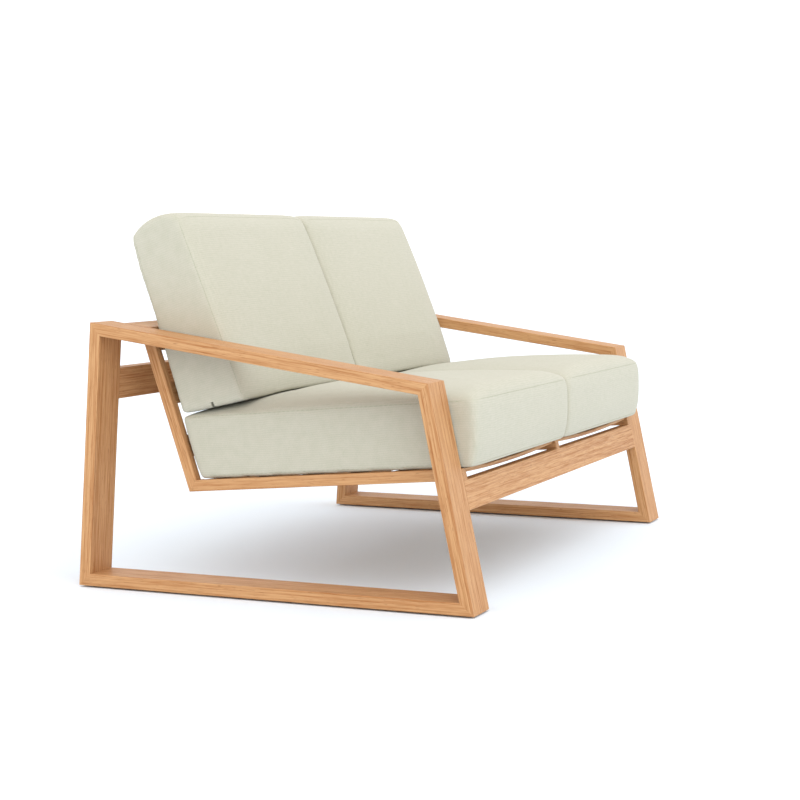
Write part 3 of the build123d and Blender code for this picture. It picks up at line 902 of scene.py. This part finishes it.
    def inflate(self, piece: Piece, held: np.ndarray) -> None:
        """Blows a cover up by cloth simulation.

        Args:
            piece: The cover's blank.
            held: The numbers of the points that are pinned.
        """
        group = piece.vertex_groups.new(name="seams")
        group.add([int(i) for i in held], 1.0, "REPLACE")
        select_only(piece)
        modifier = piece.modifiers.new("Cloth", "CLOTH")
        settings = modifier.settings
        settings.quality = 4
        settings.mass = 0.4
        settings.tension_stiffness = settings.compression_stiffness = 15
        settings.shear_stiffness = 6
        settings.bending_stiffness = 1.0
        settings.use_pressure = True
        settings.uniform_pressure_force = 7
        settings.effector_weights.gravity = 0
        settings.vertex_group_mass = group.name
        modifier.collision_settings.use_collision = False
        modifier.point_cache.frame_start = 1
        modifier.point_cache.frame_end = self.cloth_frames
        for number in range(1, self.cloth_frames + 1):
            bpy.context.scene.frame_set(number)
        bpy.ops.object.modifier_apply(modifier=modifier.name)
        bpy.context.scene.frame_set(1)
        piece.vertex_groups.clear()

    def swell(self, piece: Piece, from_seam: np.ndarray) -> None:
        """Lets the cover swell like a filled bag, with its seams held, as far as it has room.

        Args:
            piece: The cover's blank.
            from_seam: How far each point lies from the nearest seam.
        """
        start = points_of(piece)
        outwards = normals_of(piece)
        self.inflate(piece, np.flatnonzero(from_seam < self.seam_hold))
        move = points_of(piece) - start
        reach = np.linalg.norm(move, axis=1)
        across, deep, high = (start[:, i] * turns for i, turns in enumerate(self.ripple))
        wave = np.sin(across + self.ripple_start[0]) * np.sin(deep + high + self.ripple_start[1])
        cap = self.shrink - self.unevenness * (0.5 + 0.5 * wave)
        for side in self.free_sides:
            cap += side.room(start, outwards)
        move *= np.minimum(1, cap / np.maximum(reach, 1e-9))[:, None]
        # The foam keeps the cloth taut: away from the seams it lies at least this far out.
        share = np.clip(from_seam / self.seam_draw, 0, 1)
        least = cap * share * (2 - share) * self.fullness
        short = np.maximum(least - (move * outwards).sum(1), 0)
        log.info("%s swelled %.1f mm at most", piece.name, np.max((move * outwards).sum(1)) / MM)
        move_points(piece, start + move + outwards * short[:, None])

    def settle(self, piece: Piece) -> None:
        """Keeps a cover off what it rests on and off the arms and its neighbour."""
        places = points_of(piece)
        height = self.height_over_rest(places)
        low = height < self.rest_margin
        places[low] += np.outer(self.rest_margin - height[low], self.up())
        reach = self.half - self.side_margin
        places[:, 0] = np.clip(places[:, 0], -self.middle - reach, -self.middle + reach)
        move_points(piece, places)

    def hug(self, piece: Piece, rest: BVHTree) -> None:
        """Lets the underside sag towards the crowned cushion under it.

        Args:
            piece: The cover.
            rest: The surface of what lies under it.
        """
        places = points_of(piece)
        height = self.height_over_rest(places)
        rear, front = (np.array(self.corners[i]) for i in (0, 1))
        depth = ((places[:, 1:] - front) @ (rear - front)) / ((rear - front) @ (rear - front))
        limit = self.sag[0] + (self.sag[1] - self.sag[0]) * np.clip(depth, 0, 1)
        down = -Vector(self.up())
        for i in np.flatnonzero(height < self.sag_height):
            foot = Vector(places[i]) + down * height[i]
            gap = rest.ray_cast(foot, down, self.sag_search)[3] or self.sag_search
            fall = (1 - max(height[i], 0) / self.sag_height) ** 2
            places[i] += np.array(down) * min(limit[i], max(gap - self.rest_gap, 0)) * fall
        move_points(piece, places)

    def groove(self, piece: Piece) -> None:
        """Cuts the groove of the zip across the underside, with a narrow slot for the pull at its ends.

        The groove's cutter and the slots' are one before they cut, because a third cut in a row
        empties the back cover.
        """
        deep = self.groove_depth + self.cutter_below
        low = self.groove_depth - deep / 2
        wide = (2 * (self.half - self.slot_run), self.groove_width, deep)
        long = (2 * self.half + self.cutter_beyond, self.slot_width, deep)
        cutter = block("groove_cutter", wide, (0, 0, low), self.cutter_rounding, 2)
        slots = block("slot_cutter", long, (0, 0, low - self.slot_drop), self.cutter_rounding, 2)
        finish_with(cutter, "BOOLEAN", operation="UNION", object=slots, solver="EXACT")
        cutter.data.transform(Matrix.Rotation(self.zip_lean, 4, "X"))
        cutter.data.transform(Matrix.Translation((-self.middle, *self.zip_at)))
        finish_with(piece, "BOOLEAN", operation="DIFFERENCE", object=cutter, solver="EXACT")
        bpy.data.objects.remove(cutter)
        bpy.data.objects.remove(slots)

    def seam_distances(self, places: np.ndarray) -> np.ndarray:
        """Returns how far each point lies from the nearest seam."""
        routes = np.concatenate(self.seam_paths())
        tree = KDTree(len(routes))
        for number, place in enumerate(routes):
            tree.insert(Vector(place), number)
        tree.balance()
        return np.array([tree.find(Vector(place))[2] for place in places])

    def cover(self, rest: BVHTree | None) -> Piece:
        """Makes the cover on the left.

        Args:
            rest: The surface of the soft piece under it, or None.

        Returns:
            The cover.
        """
        piece = self.blank()
        from_seam = self.seam_distances(points_of(piece))
        self.fill_out(piece)
        self.swell(piece, from_seam)
        self.settle(piece)
        finish_with(piece, "SUBSURF", levels=1, render_levels=1)
        self.settle(piece)
        if rest:
            self.hug(piece, rest)
        self.groove(piece)
        select_only(piece)
        bpy.ops.object.shade_smooth_by_angle(angle=math.radians(50))
        log.info("%s has %d faces", piece.name, len(piece.data.polygons))
        return piece

    def seam_line(self, name: str, laid: list[Vector]) -> Piece:
        """Makes a closed line of thread.

        Args:
            name: The line's name.
            laid: The points that it runs through.

        Returns:
            The line.
        """
        curve = bpy.data.curves.new(name, "CURVE")
        curve.dimensions = "3D"
        curve.bevel_depth = self.seam_radius
        curve.bevel_resolution = 2
        spline = curve.splines.new("POLY")
        spline.points.add(len(laid) - 1)
        for point, place in zip(spline.points, laid):
            point.co = (*place, 1)
        spline.use_cyclic_u = True
        line = put_in_scene(name, curve)
        select_only(line)
        bpy.ops.object.convert(target="MESH")
        return line

    def seam_lines(self, cover: Piece) -> Piece:
        """Lays the thread and folded edge of both seams in the dips of the cover.

        Args:
            cover: The finished cover.

        Returns:
            The seams as one piece.
        """
        ground = surface_of(cover)
        lines = []
        for number, route in enumerate(self.seam_paths()):
            laid = []
            for place in route:
                near, facing, _, _ = ground.find_nearest(Vector(place))
                laid.append(near - facing * self.seam_sunk * self.seam_radius)
            for _ in range(self.seam_rounds):
                laid = [(laid[i - 1] + laid[i] * 2 + laid[(i + 1) % len(laid)]) / 4 for i in range(len(laid))]
            lines.append(self.seam_line(f"seam_{number}", laid))
        made = joined(lines, f"{self.left}_seams")
        select_only(made)
        bpy.ops.object.shade_smooth()
        return made

    def core(self) -> Piece:
        """Makes the foam core with softened arrises."""
        piece = welded_copy(f"{self.left}_core", f"{self.left}_core_foam")
        bpy.ops.object.mode_set(mode="EDIT")
        bpy.ops.mesh.select_all(action="SELECT")
        bpy.ops.mesh.dissolve_limited(angle_limit=math.radians(1))
        bpy.ops.mesh.select_all(action="SELECT")
        bpy.ops.mesh.bevel(offset=self.core_rounding, segments=4, affect="EDGES")
        bpy.ops.object.mode_set(mode="OBJECT")
        bpy.ops.object.shade_smooth_by_angle(angle=math.radians(30))
        return piece

    def build(self, rest: BVHTree | None = None) -> BVHTree:
        """Makes and dresses the cushions of this kind on both sides.

        Args:
            rest: The surface of the soft piece under the left one, or None.

        Returns:
            The surface of the left cover.
        """
        cloth = WovenCover(f"woven_cover_{self.kind.value}", lean=self.lean)
        thread = SpunThread("spun_thread")
        foam = CellFoam("cell_foam")
        cover = self.cover(rest)
        seams = self.seam_lines(cover)
        core = self.core()
        pairs = [
            (cover, mirrored(cover, f"{self.right}_cover_cloth"), "cover", cloth, "cover"),
            (seams, mirrored(seams, f"{self.right}_seams"), None, thread, "cover"),
            (core, mirrored(core, f"{self.right}_core_foam"), "core", foam, "foam"),
        ]
        for left, right, node, finish, slot in pairs:
            for body, piece in ((self.left, left), (self.right, right)):
                finish.dress_piece(piece, slot)
                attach(piece, body)
                if node:
                    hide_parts(f"{body}_{node}")
                log.info("built %s", piece.name)
        return surface_of(cover)


@dataclass
class Zip:
    """The zip in the underside of one kind of cushion, with its slider and pull.

    Its pieces are made in the zip's own axes: +X towards the end where the slider is while the
    zip is closed, +Y forwards and +Z into the cushion, from the groove's mouth to its ceiling.
    """

    kind: Kind
    at: tuple
    lean: float
    middle: float = 308.75 * MM
    half: float = 308.25 * MM
    end_margin: float = 24 * MM
    ceiling: float = 7 * MM
    tape_width: float = 12 * MM
    tape_gap: float = 0.2 * MM
    tape_thickness: float = 1.2 * MM
    tape_share: float = 0.9
    cord_size: tuple = (0.8 * MM, 0.7 * MM)
    cord_inset: float = 1.4 * MM
    cord_sunk: float = 0.1 * MM
    chain_width: float = 4.5 * MM
    chain_gap: float = 0.3 * MM
    chain_height: float = 1.4 * MM
    tooth_pitch: float = 1.8 * MM
    tooth_share: float = 0.62
    tooth_drop: float = 0.45
    slider_length: float = 13 * MM
    slider_width: float = 9 * MM
    slider_height: float = 3.8 * MM
    cheek_short: float = 1 * MM
    cheek_sunk: float = 0.5 * MM
    clearance: float = 0.4 * MM
    ring_radius: float = 1.9 * MM
    ring_wire: float = 0.5 * MM
    ring_at: tuple = (1.5 * MM, 1.2 * MM)
    pull_length: float = 22 * MM
    pull_width: float = 5 * MM
    pull_thickness: float = 1.2 * MM
    recess_inset: float = 0.8 * MM
    recess_depth: float = 0.25 * MM

    def place(self, piece: Piece, side: int) -> None:
        """Moves a piece from the zip's own axes to its place in a cushion.

        Args:
            piece: The piece.
            side: -1 for the left cushion, 1 for the right one.
        """
        turned = Matrix.Rotation(math.pi, 4, "Z")
        piece.data.transform(Matrix.Rotation(self.lean, 4, "X") @ turned)
        piece.data.transform(Matrix.Translation((side * self.middle, *self.at)))

    def tape(self, name: str) -> Piece:
        """Makes the two tapes, their sewn edges and the moulded teeth as one piece."""
        length = 2 * (self.half - self.end_margin)
        low = self.ceiling - self.tape_thickness
        size = (length, self.tape_width - self.tape_gap, self.tape_thickness * self.tape_share)
        place = (0, 0, self.ceiling - self.tape_thickness / 2)
        parts = [block(f"{name}_strip", size, place, rounding=0.3 * MM, segments=1)]
        for edge in (-1, 1):
            place = (0, edge * (self.tape_width / 2 - self.cord_inset), low + self.cord_sunk)
            size = (length, *self.cord_size)
            parts.append(block(f"{name}_cord", size, place, rounding=0.25 * MM, segments=2))
        for part in parts:
            WovenTape("woven_tape").dress_piece(part, "zip")
        count = int(length / self.tooth_pitch)
        size = (self.tooth_pitch * self.tooth_share, self.chain_width - self.chain_gap, self.chain_height)
        place = (-self.tooth_pitch * (count - 1) / 2, 0, low - self.chain_height * self.tooth_drop)
        tooth = block(f"{name}_tooth", size, place, rounding=0.35 * MM, segments=1)
        finish_with(
            tooth,
            "ARRAY",
            count=count,
            use_relative_offset=False,
            use_constant_offset=True,
            constant_offset_displace=(self.tooth_pitch, 0, 0),
        )
        MouldedCoil("moulded_coil").dress_piece(tooth, "zip")
        return joined([*parts, tooth], f"{name}_tape")

    def pull(self, name: str, near: float, low: float) -> Piece:
        """Makes the pull, laid along the groove, with a pressed recess in both its faces.

        Args:
            name: The pull's name.
            near: Where it starts.
            low: The height of its underside.

        Returns:
            The pull.
        """
        size = (self.pull_length, self.pull_width, self.pull_thickness)
        place = (near + self.pull_length / 2, 0, low + self.pull_thickness / 2)
        made = block(name, size, place, rounding=0.4 * MM, segments=2)
        select_only(made)
        bpy.ops.object.mode_set(mode="EDIT")
        bpy.ops.mesh.select_mode(type="FACE")
        bpy.ops.mesh.select_all(action="DESELECT")
        bpy.ops.object.mode_set(mode="OBJECT")
        for face in made.data.polygons:
            face.select = abs(face.normal.z) > 0.99
        bpy.ops.object.mode_set(mode="EDIT")
        bpy.ops.mesh.inset(thickness=self.recess_inset, depth=-self.recess_depth)
        bpy.ops.object.mode_set(mode="OBJECT")
        return made

    def slider(self, name: str) -> Piece:
        """Makes the slider's plate, its cheeks beside the teeth, its ring and its pull."""
        high = self.ceiling - self.tape_thickness - self.clearance
        low = high - self.slider_height
        x = self.half - self.end_margin - self.slider_length / 2
        plate = self.slider_height - self.chain_height
        size = (self.slider_length, self.slider_width, plate)
        place = (x, 0, high - self.chain_height - plate / 2)
        parts = [block(f"{name}_body", size, place, rounding=0.7 * MM)]
        cheek = (self.slider_width - self.chain_width) / 2 - self.clearance
        size = (self.slider_length - self.cheek_short, cheek, self.chain_height + self.cheek_sunk)
        for edge in (-1, 1):
            beside = edge * (self.slider_width - cheek) / 2
            place = (x, beside, high - self.chain_height / 2 - self.cheek_sunk / 2)
            parts.append(block(f"{name}_cheek", size, place, rounding=0.4 * MM, segments=2))
        bpy.ops.object.select_all(action="DESELECT")
        bpy.ops.mesh.primitive_torus_add(
            major_radius=self.ring_radius,
            minor_radius=self.ring_wire,
            major_segments=24,
            minor_segments=8,
            location=(x + self.ring_at[0], 0, low + self.ring_at[1]),
            rotation=(math.pi / 2, 0, 0),
        )
        parts.append(bpy.context.object)
        bpy.ops.object.transform_apply(location=True, rotation=True, scale=True)
        parts.append(self.pull(f"{name}_pull", x, low))
        made = joined(parts, f"{name}_pull_slider")
        select_only(made)
        bpy.ops.object.shade_smooth_by_angle(angle=math.radians(35))
        BlackenedBrass("blackened_brass").dress_piece(made, "slider")
        return made

    def build(self) -> None:
        """Makes and places the zips of this kind on both sides."""
        for side_name, side in SIDES.items():
            cushion = f"{side_name}_{self.kind.value}_cushion"
            tape = self.tape(f"{cushion}_zip")
            self.place(tape, side)
            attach(tape, cushion)
            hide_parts(f"{cushion}_zip")
            slider = self.slider(f"{cushion}_zip")
            self.place(slider, side)
            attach(slider, f"{cushion}_zip_slider")
            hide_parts(f"{cushion}_zip_slider")
            log.info("built the zip of %s", cushion)


# Studio


@dataclass(frozen=True)
class Softbox:
    """A very large softbox, so far off that it lights the whole floor alike."""

    name: str
    side: tuple
    power: float
    spread: float

    def build(self) -> None:
        """Makes the light."""
        light = bpy.data.lights.new(self.name, "SUN")
        light.energy = self.power
        light.angle = math.radians(self.spread)
        lamp = put_in_scene(self.name, light)
        lamp.matrix_world = Vector(self.side).to_track_quat("Z", "Y").to_matrix().to_4x4()


@dataclass
class Studio:
    """The pale floor, the pale walls, the softbox and the camera.

    The light of the walls fades to the ceiling's over a band of directions' heights.
    """

    floor_size: float = 60.0
    wall_light: float = 1.4
    ceiling_light: float = 1.18
    light_band: tuple = (0.15, 0.8)
    softbox: Softbox = Softbox("key_light", (-0.6, -0.52, 0.74), 1.05, 70.0)
    camera_place: tuple = (-4.11591, -1.69982, 0.74406)
    camera_yaw: float = 67.5567
    camera_pitch: float = -4.9337
    lens: float = 84.417

    def floor(self) -> None:
        """Lays the floor."""
        bpy.ops.object.select_all(action="DESELECT")
        bpy.ops.mesh.primitive_plane_add(size=self.floor_size, location=(0, 0, 0))
        floor = bpy.context.object
        floor.name = floor.data.name = "studio_floor"
        floor.data.materials.append(PaintedFloor("painted_floor").material())

    def light(self) -> None:
        """Lights the studio, with walls brighter than its ceiling, and sets up the softbox."""
        world = bpy.data.worlds.new("studio_light")
        world.use_nodes = True
        tree = world.node_tree
        way = add_node(tree, "TexCoord", output="Generated")
        height = add_node(tree, "SeparateXYZ", {0: way}, output="Z")
        lights = between(self.light_band, (self.wall_light, self.ceiling_light))
        strength = add_node(tree, "MapRange", {0: height}, lights)
        feed(tree, tree.nodes["Background"], {"Strength": strength}, {"Color": (1, 1, 1, 1)})
        bpy.context.scene.world = world
        self.softbox.build()
        bpy.context.scene.view_settings.view_transform = "Standard"

    def camera(self) -> None:
        """Sets up the camera at the photograph's place, angle and lens."""
        data = bpy.data.cameras.new("camera")
        data.sensor_width = 36
        data.lens = self.lens
        camera = put_in_scene("camera", data)
        camera.location = self.camera_place
        camera.rotation_euler = (math.radians(90 + self.camera_pitch), 0, -math.radians(self.camera_yaw))
        bpy.context.scene.camera = camera

    def build(self) -> None:
        """Sets up the whole studio."""
        self.floor()
        self.light()
        self.camera()
        log.info("set up the studio")


# The loveseat


def in_metres(points: tuple) -> tuple:
    """Turns points in millimetres to metres."""
    return tuple(tuple(part * MM for part in point) for point in points)


def seat_cushion() -> BoxCushion:
    """Returns the seat cushions, fuller on their crown and front than their solids."""
    crown, front, forwards, upwards = (0.087, 0.996), (-1, 0), (-1, 0), (0, 1)
    return BoxCushion(
        kind=Kind.SEAT,
        lean=5.0,
        corners=in_metres(((204.74, 231.96), (-413.01, 286.01), (-413.01, 422.12), (249.49, 364.16))),
        seams=((2, 3, 0.0), (1, 0, 7 * MM)),
        zip_at=(95.159 * MM, 241.547 * MM),
        zip_lean=-math.radians(5.0),
        rest_up=(0.087156, 0.996195),
        free_sides=(
            FreeSide(crown, 5.5 * MM, forwards, -80 * MM, -30 * MM),
            FreeSide(front, 2.5 * MM, upwards, 292 * MM, 325 * MM),
        ),
        full_sides=(
            FreeSide(crown, 2.5 * MM, forwards, -60 * MM, 120 * MM),
            FreeSide(front, 2.0 * MM, upwards, 292 * MM, 340 * MM),
        ),
        soft_corners=(SoftCorner(1, 2, 22 * MM, 5), SoftCorner(0, 3, 20 * MM, 4)),
    )


def back_cushion() -> BoxCushion:
    """Returns the back cushions, fuller on top and above the top cross rail than their solids."""
    front, rear, top, upwards = (-0.927, 0.376), (0.945, -0.328), (0.32, 0.947), (0, 1)
    return BoxCushion(
        kind=Kind.BACK,
        lean=18.7,
        corners=in_metres(((250.63, 380.38), (101.25, 409.57), (253.19, 784.11), (362.12, 747.24))),
        seams=((1, 2, 0.0), (0, 3, 0.0)),
        zip_at=(175.938 * MM, 394.973 * MM),
        zip_lean=-math.asin(0.19176),
        rest_up=(0.19176, 0.981442),
        free_sides=(
            FreeSide(front, 4.0 * MM, upwards, 452 * MM, 500 * MM),
            FreeSide(top, 2.0 * MM, upwards, 0.0, 1 * MM),
        ),
        full_sides=(
            FreeSide(rear, 8.5 * MM, upwards, 580 * MM, 680 * MM),
            FreeSide(top, 5.0 * MM, upwards, 0.0, 1 * MM),
        ),
        soft_corners=(SoftCorner(2, 3, 18 * MM, 3), SoftCorner(0, 1, 18 * MM, 3)),
        sag=(4.0 * MM, 12.0 * MM),
    )


def main() -> None:
    """Builds the loveseat's pieces in order and reports each."""
    logging.basicConfig(level=logging.INFO, format="%(name)s: %(message)s")
    TimberFrame().dress()
    FloorGlides().dress()
    seat, back = seat_cushion(), back_cushion()
    back.build(seat.build())
    for cushion in (seat, back):
        Zip(cushion.kind, cushion.zip_at, cushion.zip_lean).build()
    Studio().build()


if __name__ == "__main__":
    main()
